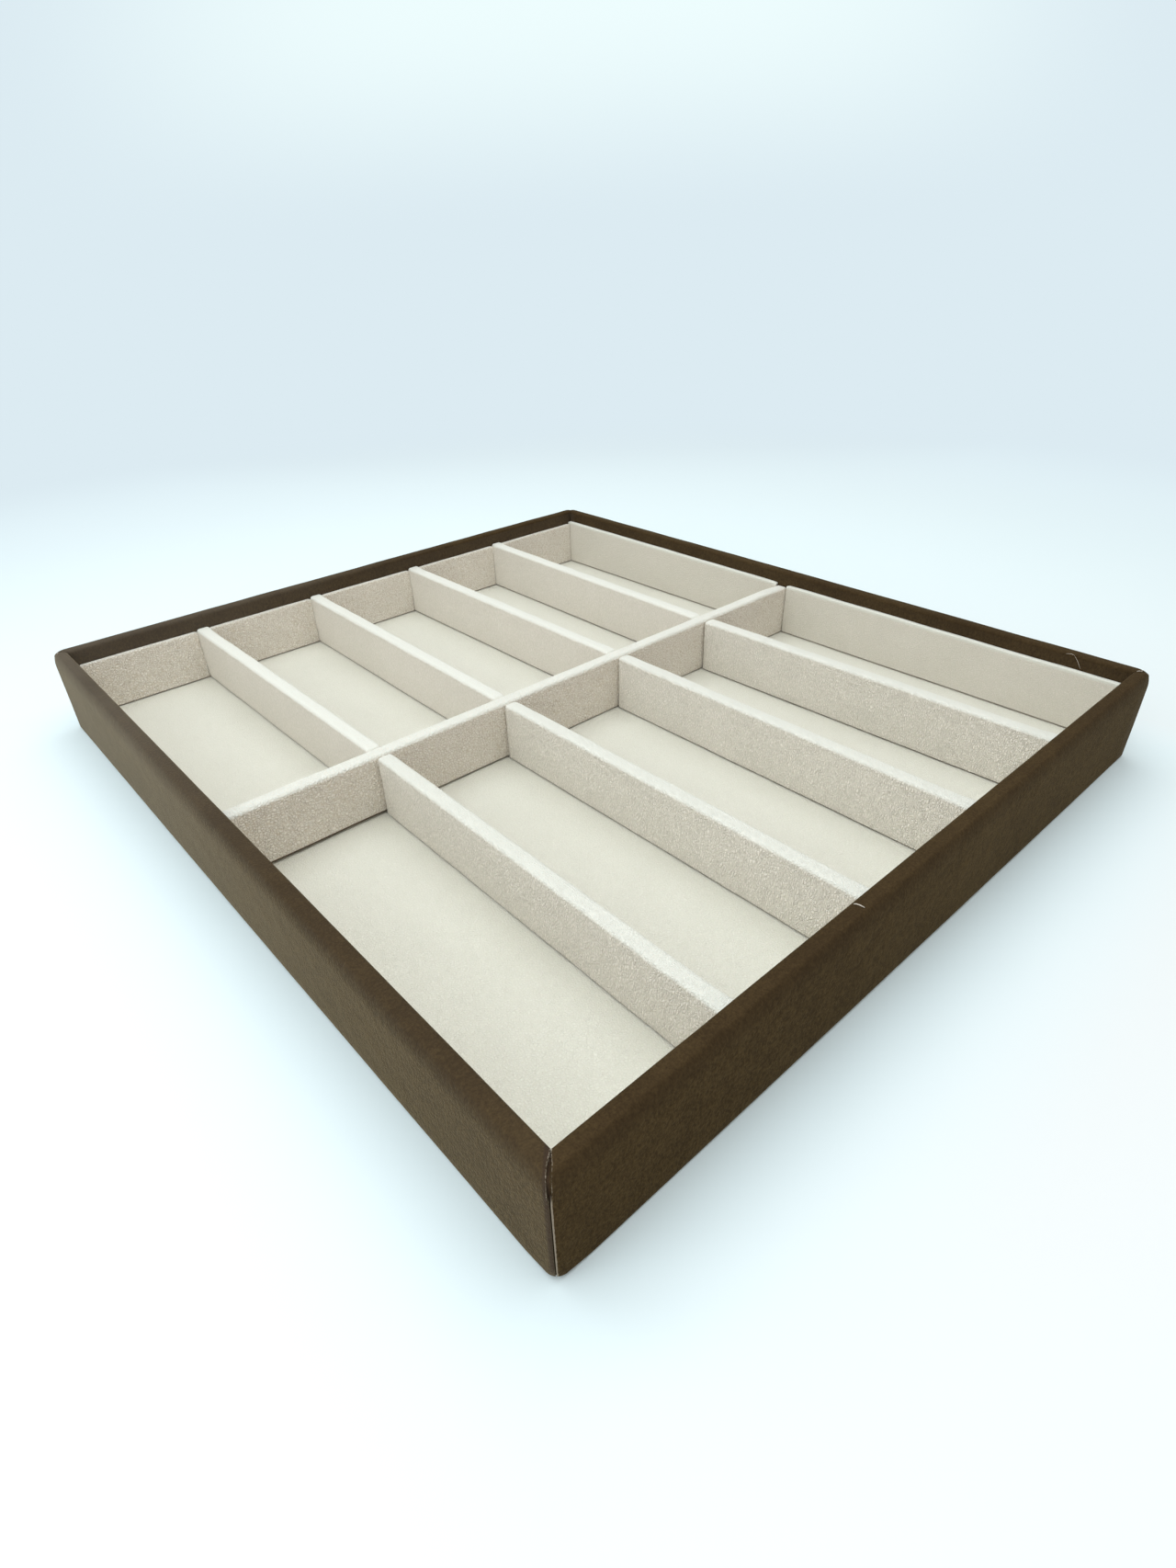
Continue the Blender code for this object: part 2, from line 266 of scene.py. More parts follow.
class Recipe:
    """A node tree that a finish is written into."""

    def __init__(self, tree):
        self.tree = tree
        tree.nodes.clear()

    def add(self, kind, settings=None, inputs=None, output=0):
        """A node of any kind: its settings first, then the values or links of its sockets."""
        node = self.tree.nodes.new(kind)
        for name, value in (settings or {}).items():
            setattr(node, name, value)
        for name, value in (inputs or {}).items():
            socket = node.inputs[name]
            if isinstance(value, Tone):
                self.tree.links.new(value.socket, socket)
            else:
                socket.default_value = (*value, 1) if socket.type == "RGBA" else value
        return Tone(self, node.outputs[output]) if node.outputs else None

    def maths(self, operation, *values):
        """A sum of one or two values."""
        return self.add("ShaderNodeMath", {"operation": operation}, dict(enumerate(values)))

    def larger(self, first, second):
        return self.maths("MAXIMUM", first, second)

    def stretched(self, place, factors):
        """A place with its three parts multiplied."""
        return self.add("ShaderNodeVectorMath", {"operation": "MULTIPLY"},
                        {0: place, 1: factors})

    def shifted(self, place, amount):
        """A place moved by another."""
        return self.add("ShaderNodeVectorMath", {"operation": "ADD"}, {0: place, 1: amount})

    def place(self):
        """Where a point of the surface is, in metres in the tray's frame."""
        return self.add("ShaderNodeTexCoord", output="Object")

    def parts(self, place):
        """The three parts of a place."""
        split = self.add("ShaderNodeSeparateXYZ", inputs={0: place})
        return [Tone(self, socket) for socket in split.socket.node.outputs]

    def cloud(self, place, size, detail=2.0, output=0):
        """Soft uneven noise round 0.5, with blobs of about the size given."""
        return self.add("ShaderNodeTexNoise",
                        inputs={"Vector": place, "Scale": 1 / size, "Detail": detail}, output=output)

    def step(self, value, low, high):
        """0 at low and 1 at high, with a soft rise between them; low may be the larger one."""
        return self.add("ShaderNodeMapRange", {"interpolation_type": "SMOOTHSTEP"},
                        {"Value": value, "From Min": low, "From Max": high})

    def blend(self, first, second, share):
        """Two colours mixed by a share from 0 to 1."""
        return self.add("ShaderNodeMix", {"data_type": "RGBA"},
                        {0: share, 6: first, 7: second}, output=2)

    def bump(self, height):
        """A rough surface from its height in millimetres."""
        return self.add("ShaderNodeBump", inputs={"Height": height, "Distance": MILLIMETRE})

    def surface(self, inputs):
        """The finish's shader and its output."""
        shader = self.add("ShaderNodeBsdfPrincipled", inputs=inputs)
        self.add("ShaderNodeOutputMaterial", inputs={"Surface": shader})


# Finishes

def shaded(colour, share):
    """A colour made darker, or lighter with a share above 1."""
    return tuple(part * share for part in colour)


def suede(recipe, sizes, colours, sheen=0.09, gloss=0.04):
    """Brown suede: short nap in fine streaks, soft mottles, dust and painted sheen back left, raw
    edges.
    """
    place = recipe.place()
    spot = recipe.parts(place)
    along, across, height = spot
    lying = recipe.stretched(place, (1, 1, 0.6))
    fibres = recipe.cloud(lying, 0.00045, 3.0)
    streaks = recipe.cloud(lying, 0.0010, 2.0)
    mottles = recipe.cloud(place, 0.008, 3.0)
    drifts = recipe.cloud(place, 0.045, 2.0)

    # The nap's streaks are fainter on the rim's shoulder, and painted shade darkens the colour there
    shoulder_depth, full_depth = 0.0085, 0.0008
    rim = recipe.step(height, RIM_TOP - shoulder_depth, RIM_TOP - full_depth)
    nap = ((fibres - 0.5) * 2.4 + (streaks - 0.5) * 2.0) * (1 - rim * 0.45)
    nap = nap + 0.5 + (mottles - 0.5) * 0.7 + (drifts - 0.5) * 0.8
    # Painted shade: the colour is pulled toward the darker nap on the rim's shoulder
    cloth = recipe.blend(colours.suede, colours.suede_raised, nap - rim * 0.26)

    # Dust and painted sheen toward the back left, a little on the rim, and on the two far walls'
    # inner faces
    dust_and_sheen_share = recipe.step(across - along, 0.03, 0.33) * (0.16 + drifts * 0.2)
    dust_and_sheen_share = recipe.larger(dust_and_sheen_share, rim * 0.035)
    below_rim = recipe.step(height, RIM_TOP - 0.0005, RIM_TOP - 0.0018)
    last_reach, full_reach = 0.012, 0.009
    for reach, share in ((HALF_WIDTH - along, 0.06), (HALF_LENGTH - across, 0.13)):
        on_face = recipe.step(reach, last_reach, full_reach) * below_rim * share
        dust_and_sheen_share = recipe.larger(dust_and_sheen_share, on_face)
    cloth = recipe.blend(cloth, colours.dust_and_sheen, dust_and_sheen_share)
    cloth = with_seam_edges(recipe, colours, cloth, place, spot)

    recipe.surface({"Base Color": cloth, "Roughness": 0.92 - (fibres - 0.5) * 0.2,
                    "Specular IOR Level": gloss, "Sheen Weight": sheen, "Sheen Roughness": 0.3,
                    "Sheen Tint": (1.0, 0.82, 0.50),
                    "Normal": recipe.bump(fibres * 0.16 + streaks * 0.12 + mottles * 0.25)})


def with_seam_edges(recipe, colours, cloth, place, spot):
    """The suede's colour with the near corner seam's raw edges, and painted shade on its turned
    edge.

    The raw edge shows all the way down on the front wall's side, and near the rim, where the seam
    gapes, as two broken lines.
    """
    along, across, height = spot
    near_reach, near_full = 0.012, 0.010
    frays = recipe.cloud(place, 0.0006, 2.0)
    ragged = (frays - 0.5) * 0.0008
    from_left, from_front = along + HALF_WIDTH, across + HALF_LENGTH
    seam = (from_left - from_front) / math.sqrt(2)
    near = (recipe.step(along, near_reach - HALF_WIDTH, near_full - HALF_WIDTH)
            * recipe.step(across, near_reach - HALF_LENGTH, near_full - HALF_LENGTH))
    high = recipe.step(height, RIM_TOP - 0.0075, RIM_TOP - 0.0055)

    # One line beside the seam down the wall, and one on each side of it where it gapes
    line_end, line_full = 0.00060, 0.00042
    gape_start, gape_full, gape_fading, gape_end = 0.00042, 0.00052, 0.00064, 0.00082
    narrower, broken_size = 0.0004, 0.0022
    edge_low = (recipe.step(seam + ragged * 0.3, line_end, line_full)
                * recipe.step(seam, 0.0, 0.0001))
    inward = recipe.maths("MINIMUM", from_left, from_front)
    apart = abs(seam) + recipe.step(inward, 0.0025, WALL_THICKNESS - 0.0008) * narrower
    broken = 0.35 + recipe.step(recipe.cloud(place, broken_size), 0.44, 0.56) * 0.65
    edge_high = (recipe.step(apart + ragged, gape_end, gape_fading)
                 * recipe.step(apart, gape_start, gape_full) * recipe.step(frays, 0.46, 0.56)
                 * recipe.step(abs(seam), 0.00006, 0.00012) * broken)
    edge = near * (edge_low + (edge_high - edge_low) * high)
    # Painted shade: the left cloth's end, turned into the seam's groove, is darkened as the shade
    # there
    turned = near * recipe.step(seam, -0.0016, -0.0010) * recipe.step(seam, 0.0002, 0.0001)
    cloth = recipe.blend(cloth, colours.seam_groove_shade, turned * 0.75)
    return recipe.blend(cloth, colours.raw_edge, edge * (0.75 + high * 0.15))


def turned_suede(recipe, sizes, colours):
    """The same suede with its nap turned to the light, as on the left wall."""
    suede(recipe, sizes, colours, sheen=0.27, gloss=0.16)


def leatherette(recipe, sizes, colours, draw=(0.85, 0.85, 0.85), depth=1.9, tone=0.92, shades=None):
    """Cream leatherette: small rounded pebbles with warm creases and a low, broken sheen.

    draw squeezes the grain each way, depth is its strength, tone its mean place between the two
    shades, which are the colours of its bottom and top.
    """
    crease, top = shades or (colours.crease, colours.leatherette)
    _, _, height = recipe.parts(recipe.place())
    place = recipe.stretched(recipe.place(), draw)
    sway = recipe.cloud(place, 0.0016, 1.0, output=1)
    sway_reach = 0.0008
    bent = recipe.shifted(place, recipe.stretched(sway, (sway_reach, sway_reach, sway_reach)))
    cells = recipe.add("ShaderNodeTexVoronoi", {"feature": "DISTANCE_TO_EDGE"},
                       {"Vector": bent, "Scale": 1 / sizes.pebble})
    pebbles = recipe.step(cells, -0.08, 0.36)
    pores = recipe.cloud(place, 0.0008, 1.0)
    soil = recipe.cloud(place, 0.030, 3.0)

    # The grain is shallower where the cover is stretched over the top edges
    crown_depth, full_depth = 0.0016, 0.0004
    smooth_crown_highlight = recipe.step(height, STANDING_TOP - crown_depth, STANDING_TOP - full_depth)
    depth = depth * (1 - smooth_crown_highlight * 0.45)
    grain = (recipe.step(cells, -0.04, 0.24) - 0.75) * 0.42 + (pores - 0.5) * 0.5
    cream = recipe.blend(crease, top, tone + grain * depth + (soil - 0.5) * 0.3)
    # Painted highlight: the top edges are made paler and cooler, as they look lit from above
    cream = recipe.blend(cream, colours.fold, smooth_crown_highlight * (0.75 + grain))

    # Painted shade: a thin dark line at the foot of what stands on the floor, for the shaded gap
    # under it
    foot_shade_height, foot_shade_full, bare_floor, floor_gap = 0.0006, 0.0001, 0.00005, 0.0002
    foot_shade = recipe.step(height, STANDING_BOTTOM + foot_shade_height, STANDING_BOTTOM + foot_shade_full)
    foot_shade = foot_shade * recipe.step(height, FLOOR_TOP + bare_floor, FLOOR_TOP + floor_gap)
    cream = recipe.blend(cream, colours.foot_shade, foot_shade * 0.8)
    recipe.surface({"Base Color": cream, "Roughness": 0.66 - pebbles * 0.10 + (soil - 0.5) * 0.1,
                    "Specular IOR Level": 0.35,
                    "Normal": recipe.bump((pebbles * 0.20 + pores * 0.14) * depth)})


def drawn_leatherette(recipe, sizes, colours):
    """The same leatherette, its grain drawn out upward, as on the front row's dividers."""
    leatherette(recipe, sizes, colours, draw=(1.1, 1.3, 0.62), depth=1.6, tone=0.78,
                shades=(colours.smooth_crease, colours.leatherette))


def smooth_leatherette(recipe, sizes, colours):
    """The same leatherette pulled tight, as on the back row's dividers."""
    leatherette(recipe, sizes, colours, draw=(1.1, 1.2, 0.5), depth=0.9, tone=0.60,
                shades=(colours.smooth_crease, colours.taut_leatherette))


def flat_leatherette(recipe, sizes, colours):
    """The same leatherette glued flat on card, as on the right wall."""
    leatherette(recipe, sizes, colours, draw=(1.1, 1.1, 1.1), depth=0.9, tone=0.44,
                shades=(colours.smooth_crease, colours.taut_leatherette))


def pressed_leatherette(recipe, sizes, colours):
    """The same leatherette pressed flat and fine, as on the floor."""
    leatherette(recipe, sizes, colours, draw=(1.1, 1.1, 1.1), depth=0.8, tone=0.64,
                shades=(colours.smooth_crease, colours.floor_leatherette))


def lint(recipe, sizes, colours):
    """Pale loose threads, a little darker in places."""
    shade = recipe.blend(colours.raw_edge, colours.leatherette, recipe.cloud(recipe.place(), 0.0008))
    recipe.surface({"Base Color": shade, "Roughness": 0.7, "Specular IOR Level": 0.3})


def board(recipe, sizes, colours):
    """Bare fibreboard: short pressed fibres and darker specks, and painted shade at its foot."""
    place = recipe.place()
    _, _, height = recipe.parts(place)
    fibres = recipe.cloud(recipe.stretched(place, (1, 1, 3.0)), 0.0009, 4.0)
    specks = recipe.step(recipe.cloud(place, 0.0006, 1.0), 0.66, 0.74)
    shade = recipe.blend(shaded(colours.board, 0.75), colours.board,
                         recipe.step(fibres, 0.3, 0.7))
    shade = recipe.blend(shade, shaded(colours.board, 0.4), specks * 0.6)
    # Painted shade: the foot, seen through the gap under a cover, is darkened as it lies in shade
    foot_shade_height, foot_shade_full = 0.0018, 0.0008
    foot = (recipe.step(height, STANDING_BOTTOM + foot_shade_height, STANDING_BOTTOM + foot_shade_full)
            * recipe.step(height, STANDING_BOTTOM - 0.0006, STANDING_BOTTOM - 0.0001))
    shade = recipe.blend(shade, shaded(colours.board, 0.35), foot)
    recipe.surface({"Base Color": shade, "Roughness": 0.85 + (fibres - 0.5) * 0.1,
                    "Normal": recipe.bump(fibres * 0.05)})


def grey_card(recipe, sizes, colours):
    """Grey recycled card: soft flecks and a matt, slightly uneven face."""
    place = recipe.place()
    pulp = recipe.cloud(place, 0.0015, 4.0)
    flecks = recipe.step(recipe.cloud(place, 0.0005, 1.0), 0.68, 0.76)
    shade = recipe.blend(shaded(colours.card, 0.88), colours.card, pulp)
    shade = recipe.blend(shade, shaded(colours.card, 0.45), flecks * 0.5)
    recipe.surface({"Base Color": shade, "Roughness": 0.9 + (pulp - 0.5) * 0.1,
                    "Normal": recipe.bump(pulp * 0.03)})


def base_paper(recipe, sizes, colours):
    """Dark lining paper with a fine laid texture and faint rubbed places."""
    place = recipe.place()
    laid = recipe.cloud(recipe.stretched(place, (4, 1, 1)), 0.0016, 3.0)
    rubbed = recipe.step(recipe.cloud(place, 0.035, 4.0), 0.5, 0.8)
    shade = recipe.blend(colours.paper, shaded(colours.paper, 1.35), laid)
    shade = recipe.blend(shade, shaded(colours.paper, 1.9), rubbed * 0.35)
    recipe.surface({"Base Color": shade, "Roughness": 0.88 - rubbed * 0.12,
                    "Normal": recipe.bump(laid * 0.03)})


FINISHES = {kind.__name__: kind for kind in (
    suede, turned_suede, leatherette, drawn_leatherette, smooth_leatherette, flat_leatherette,
    pressed_leatherette, lint, board, grey_card, base_paper)}


def finish(kind):
    """The material of one kind of finish, made the first time that it is asked for."""
    name = f"tray_{kind}"
    if name not in bpy.data.materials:
        material = bpy.data.materials.new(name)
        material.use_nodes = True
        scene = bpy.context.scene
        FINISHES[kind](Recipe(material.node_tree), scene.tray_sizes, scene.tray_colours)
    return bpy.data.materials[name]


# Meshes

def add_piece(name, points, faces, slot, stands_for=(), kind=None):
    """A closed mesh that rides on the tray, wears a slot's finish and stands for CAD nodes."""
    mesh = bpy.data.meshes.new(name)
    mesh.from_pydata(points, [], faces)
    shape = bmesh.new()
    shape.from_mesh(mesh)
    bmesh.ops.recalc_face_normals(shape, faces=shape.faces)
    shape.to_mesh(mesh)
    shape.free()
    mesh.shade_smooth()
    mesh.set_sharp_from_angle(angle=SHARP_EDGE)
    mesh.materials.append(finish(kind or slot))
    piece = bpy.data.objects.new(name, mesh)
    bpy.context.scene.collection.objects.link(piece)
    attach(piece, BODY)
    if stands_for:
        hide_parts(*stands_for)
    return piece


def band(low, count):
    """Faces from a ring of points, whose first number is low, to the ring after it."""
    return [(low + here, low + (here + 1) % count, low + count + (here + 1) % count,
             low + count + here) for here in range(count)]


def grid_border(last_i, last_j):
    """The corners on the border of a grid, in order round it."""
    return ([(i, 0) for i in range(last_i)] + [(last_i, j) for j in range(last_j)]
            + [(i, last_j) for i in range(last_i, 0, -1)]
            + [(0, j) for j in range(last_j, 0, -1)])


def border_faces(border, count):
    """Faces that join a closed line of points to the points that come count later."""
    return [(here, after, after + count, here + count)
            for here, after in zip(border, border[1:] + border[:1])]


def strip_body(rings):
    """Points and faces of a strip with thickness: each ring is its outer line, then its inner."""
    points, faces = [], []
    for outer, inner in rings:
        points += outer + inner[::-1]
    half = len(rings[0][0])
    count = 2 * half
    for low in range(0, len(points) - count, count):
        faces += band(low, count)
    for low in (0, len(points) - count):
        for here in range(half - 1):
            faces.append((low + here, low + here + 1, low + count - 2 - here,
                          low + count - 1 - here))
    return points, faces


# Walls

def runs_along_x(side):
    return side in ("front", "back")


def half_run(side):
    """Half the length of a wall."""
    return HALF_WIDTH if runs_along_x(side) else HALF_LENGTH


def wall_point(side, along, inset, height):
    """A place by its distance along a wall, its inset from the outer face, and its height."""
    half_across = HALF_LENGTH if runs_along_x(side) else HALF_WIDTH
    x, y = along, inset - half_across
    for _ in range(WALLS.index(side)):
        x, y = -y, x
    return Vector((x, y, height))


def seam_gap(corner, inset, height):
    """How far the cloth stops short of a mitre, along its wall; the near seam gapes at the rim."""
    closed, tight, looser, gape = 0.00016, 0.00010, 0.00012, 0.00048
    if corner != "near":
        return closed
    outside = ease(WALL_THICKNESS, 0.0025, inset)
    at_rim = ease(RIM_TOP - 0.008, RIM_TOP - 0.005, height) * outside
    return tight + looser * outside + gape * at_rim


def corner_radius(corner, height, sizes):
    """Radius of a corner seen from above; the near one spreads at its foot."""
    if corner != "near":
        return sizes.other_corners
    foot_spread = 0.0016
    return sizes.near_corner + foot_spread * ease(0.005, 0.0, height)


def round_corner(reach, inset, radius):
    """Moves a point near a mitre on to the corner's curve: its place from the corner, its inset."""
    if reach >= radius or inset >= radius:
        return reach, inset
    turn = (radius - reach) / (radius - inset) * math.pi / 4
    return (radius - (radius - inset) * math.sin(turn),
            radius - (radius - inset) * math.cos(turn))


def corner_stations(side):
    """Places along a wall from -1 to 1, close together at the corners."""
    run = half_run(side)
    from_corner = [0, 0.00012, 0.0003, 0.0005, 0.0008, 0.0011, 0.0015, 0.0019, 0.0024, 0.003,
                   0.0037, 0.0046, 0.0058, 0.0075, 0.010, 0.013]
    straight_from, pitch = 0.0165, 0.0035
    middle = spread(-(run - straight_from), run - straight_from, pitch)
    places = ([-(run - gap) for gap in from_corner] + middle
              + [run - gap for gap in from_corner[::-1]])
    return [place / run for place in places]


def wall_ring(side, share, line, sizes, cloth=1.0):
    """One line of a wall's section, placed at a share of the wall's length and worked by hand.

    The bare boards are made with a cloth of 0: they have the corners' curves and no hand work.
    """
    foot_lift, corner_dip = 0.0011, 0.0007
    run = half_run(side)
    number = WALLS.index(side)
    corner = WALL_CORNERS[side][0 if share < 0 else 1]
    points = []
    for inset, height in line:
        reach = run - inset - seam_gap(corner, inset, height) * cloth
        place = abs(share) * reach
        from_corner, depth = round_corner(run - place, inset, corner_radius(corner, height, sizes))
        along = math.copysign(run - from_corner, share)

        # The outer face bows out a little and is uneven
        bow = sizes.wall_bow * (1 - share * share) * cloth
        outer = ease(0.004, 0.002, inset) * ease(0.0, 0.002, height)
        waves = (wobble(sizes.handwork * 0.7, 0.030, along, height, number * 0.7)
                 + wobble(sizes.handwork * 0.35, 0.009, along, height, number * 0.3))
        depth -= (bow + waves) * outer * cloth

        # The rim waves, dips at three corners, and the near corner's foot is lifted
        top = ease(RIM_TOP - 0.012, RIM_TOP, height)
        rise = wobble(sizes.handwork, 0.022, along, number * 0.9, 0.4) * top * cloth
        if corner == "near":
            rise += (foot_lift * ease(0.012, 0.002, run - place) * ease(0.006, 0.0, height)
                     * ease(0.006, 0.001, inset))
        else:
            rise -= corner_dip * ease(0.006, 0.001, run - place) * top * cloth
        points.append(wall_point(side, along, depth, height + rise))
    return points


def wrap_lines(sizes):
    """The cloth's section round a wall board: its outer line and its inner one."""
    thick, foot = sizes.wrap_thickness, sizes.foot_radius
    wide, tall, edge = sizes.shoulder_width, sizes.shoulder_height, sizes.inner_edge
    face_pitch, turn_in_pitch, rim_pitch = 0.0023, 0.0012, 0.0007
    outer = [(inset, 0) for inset in spread(TURN_IN, foot + 0.0006, turn_in_pitch)]
    outer += bend((foot, foot), (foot, foot), 270, 180, 5)
    outer += [(0, height) for height in spread(foot + 0.0012, RIM_TOP - tall - 0.001, face_pitch)]
    outer += bend((wide, RIM_TOP - tall), (wide, tall), 180, 90, 16)
    outer += [(inset, RIM_TOP) for inset in spread(wide, WALL_THICKNESS - edge, rim_pitch)[1:-1]]
    outer += bend((WALL_THICKNESS - edge, RIM_TOP - edge), (edge, edge), 90, 0, 6)
    outer += [(WALL_THICKNESS, height)
              for height in spread(RIM_TOP - edge - 0.0012, LEG_BOTTOM, face_pitch)]

    # The inner line lies a thickness inside; the cloth is stretched thinner over the shoulder
    inner = []
    for number, (inset, height) in enumerate(outer):
        before = outer[max(number - 1, 0)]
        after = outer[min(number + 1, len(outer) - 1)]
        run = Vector((after[0] - before[0], after[1] - before[1])).normalized()
        on_shoulder = ease(RIM_TOP - tall, RIM_TOP - 0.001, height)
        squeeze = 1 - 0.42 * on_shoulder * ease(0.004, 0.002, inset)
        inner.append((inset + run.y * thick * squeeze, height - run.x * thick * squeeze))
    return outer, inner


def board_heights():
    """Heights of a board's straight faces; the cloth under it is as thick as that in front."""
    straight_top, pitch = BOARD_TOP - 0.0016, 0.006
    return spread(BOARD_FACE, straight_top, pitch)


def board_outer_line(room=0.0):
    """A wall board's outer side and its eased top edges, or a line that far outside them."""
    ease_out, ease_in = 0.0010, 0.0003
    outer = [(BOARD_FACE - room, height) for height in board_heights()]
    outer += bend((BOARD_FACE + ease_out, BOARD_TOP - ease_out),
                  (ease_out + room, ease_out + room), 180, 90, 5)
    outer += bend((BOARD_BACK - ease_in, BOARD_TOP - ease_in),
                  (ease_in + room, ease_in + room), 90, 45, 2)
    if room:
        outer += [(BOARD_BACK + room, BOARD_TOP - drop) for drop in (0.0004, 0.0030, 0.0060)]
    return outer


def board_inner_line(outer):
    """The board's inner face, point for point with its outer line."""
    heights = board_heights()
    eased = 0.0003
    last, steps = heights[-1], len(outer) - len(heights)
    rise = (BOARD_TOP - eased - last) / steps
    heights += [last + rise * (step + 1) for step in range(steps)]
    return [(BOARD_BACK, height) for height in heights]


def wall_body(side, lines, sizes, cloth=1.0):
    """Points and faces of one wall's cloth or board from its section."""
    return strip_body([[wall_ring(side, share, line, sizes, cloth) for line in lines]
                       for share in corner_stations(side)])


def make_wraps(sizes):
    """Suede round each wall, from its turn-in under the base, over the rim and down inside."""
    lines = wrap_lines(sizes)
    for side in WALLS:
        add_piece(f"suede_wrap_{side}", *wall_body(side, lines, sizes), "suede",
                  [f"wall_wrap_{side}"], "turned_suede" if side == "left" else "suede")


def make_boards(sizes):
    """The four wall boards inside the cloth, their corners eased as the cloth's are."""
    outer = board_outer_line()
    lines = (outer, board_inner_line(outer))
    for side in WALLS:
        add_piece(f"board_{side}", *wall_body(side, lines, sizes, cloth=0.0), "board",
                  [f"wall_board_{side}"])


def patch_line(side, corner, reach, line, sizes, end):
    """A corner patch's line on one wall, a reach away from the mitre."""
    run = half_run(side)
    points = []
    for inset, height in line:
        from_corner, depth = round_corner(inset + reach, inset,
                                          corner_radius(corner, height, sizes))
        points.append(wall_point(side, end * (run - from_corner), depth, height))
    return points


def make_corner_patches(sizes):
    """A strip of suede over the boards behind each corner's seam."""
    outer_room, inner_room = 0.00024, 0.00006
    lines = (board_outer_line(outer_room), board_outer_line(inner_room))
    reaches = (0.0034, 0.0026, 0.0019, 0.0013, 0.0008, 0.0004)
    for first, second in zip(WALLS, WALLS[1:] + WALLS[:1]):
        corner = WALL_CORNERS[first][1]
        rings = [[patch_line(first, corner, reach, line, sizes, 1) for line in lines]
                 for reach in reaches]
        rings += [[patch_line(second, corner, reach, line, sizes, -1) for line in lines]
                  for reach in (0.0, *reaches[::-1])]
        add_piece(f"corner_patch_{corner}", *strip_body(rings), "suede")


# Dividers

def plan_line(node):
    """A divider's two ends and its width, from its CAD piece seen from above."""
    end_reach = 0.002
    points = [corner.co.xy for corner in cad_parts[node].data.vertices]
    low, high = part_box(node)
    way = 0 if high.x - low.x > high.y - low.y else 1
    ends = []
    for level in (low[way], high[way]):
        close = [point for point in points if abs(point[way] - level) < end_reach]
        ends.append(sum(close, Vector((0, 0))) / len(close))
    run = (ends[1] - ends[0]).normalized()
    places = [(point - ends[0]).dot(run) for point in points]
    width = 2 * max(abs((point - ends[0]).cross(run)) for point in points)
    return ends[0] + run * min(places), ends[0] + run * max(places), width


def edge_places(low, high, radius, pitch, rounds=(True, True)):
    """Places across a bar with round edges, close together where it rounds."""
    bends = [radius * (1 - math.tan(math.radians(angle))) for angle in (45, 30, 15)]
    start = [low + part for part in bends] + [low + radius] if rounds[0] else [low]
    end = [high - radius] + [high - part for part in bends[::-1]] if rounds[1] else [high]
    return start[:-1] + spread(start[-1], end[0], pitch) + end[1:]


def sleeve_quads(last):
    """The faces of a bar's top, ends and sides, each as four corners of a grid."""
    quads = []
    for i in range(last[0]):
        quads += [((i, j, last[2]), (i + 1, j, last[2]), (i + 1, j + 1, last[2]),
                   (i, j + 1, last[2])) for j in range(last[1])]
        quads += [((i, j, k), (i + 1, j, k), (i + 1, j, k + 1), (i, j, k + 1))
                  for j in (0, last[1]) for k in range(last[2])]
    for j in range(last[1]):
        quads += [((i, j, k), (i, j + 1, k), (i, j + 1, k + 1), (i, j, k + 1))
                  for i in (0, last[0]) for k in range(last[2])]
    return quads


def sleeve(length, width, bottom, top, radius, thickness):
    """A cover that is closed at its ends and on top, its foot tucked in: points and faces."""
    tuck, pitch_across, pitch_along, pitch_up = 0.00045, 0.0012, 0.0026, 0.0030
    across = edge_places(-width / 2, width / 2, radius, pitch_across)
    along = edge_places(-length / 2, length / 2, radius, pitch_along)
    up = [bottom, bottom + tuck * 0.3, bottom + tuck * 0.6]
    up += edge_places(bottom + tuck, top, radius, pitch_up, (False, True))
    last = (len(across) - 1, len(along) - 1, len(up) - 1)
    quads = sleeve_quads(last)
    index = {}
    for quad in quads:
        for corner in quad:
            index.setdefault(corner, len(index))

    # Each corner of the grid gives a point outside and one inside, both off the bar's core
    outer, inner = [], []
    for i, j, k in index:
        point = Vector((across[i], along[j], up[k]))
        core = Vector((min(max(point.x, radius - width / 2), width / 2 - radius),
                       min(max(point.y, radius - length / 2), length / 2 - radius),
                       min(point.z, top - radius)))
        way = (point - core).normalized()
        low = max(0, 1 - (point.z - bottom) / tuck)
        turned_in = tuck * (1 - math.sqrt(1 - low * low))
        outer.append(core + way * (radius - turned_in))
        inner.append(core + way * (radius - thickness))

    # The inner faces are the outer ones turned over, and a band joins the two at the foot
    faces = [[index[corner] for corner in quad] for quad in quads]
    faces += [[corner + len(outer) for corner in face[::-1]] for face in faces]
    foot = [index[i, j, 0] for i, j in grid_border(last[0], last[1])]
    faces += border_faces(foot, len(outer))
    return outer + inner, faces


def add_cover(name, node, sizes, shape, kind):
    """The leatherette of one divider. shape gives how far a point moves across and up."""
    start, end, width = plan_line(node)
    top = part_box(node)[1].z
    run = (end - start).normalized()
    beside = Vector((run.y, -run.x))
    middle = (start + end) / 2
    length = (end - start).length
    points, faces = sleeve(length, width, STANDING_BOTTOM, top, sizes.cover_radius,
                           sizes.cover_thickness)
    placed = []
    for point in points:
        share = point.y / length + 0.5
        level = (point.z - STANDING_BOTTOM) / (top - STANDING_BOTTOM)
        across, rise = shape(share, level, point.x / (width / 2))
        flat = middle + run * point.y + beside * (point.x + across)
        placed.append(Vector((flat.x, flat.y, point.z + rise)))
    add_piece(name, placed, faces, "leatherette", [node], kind)


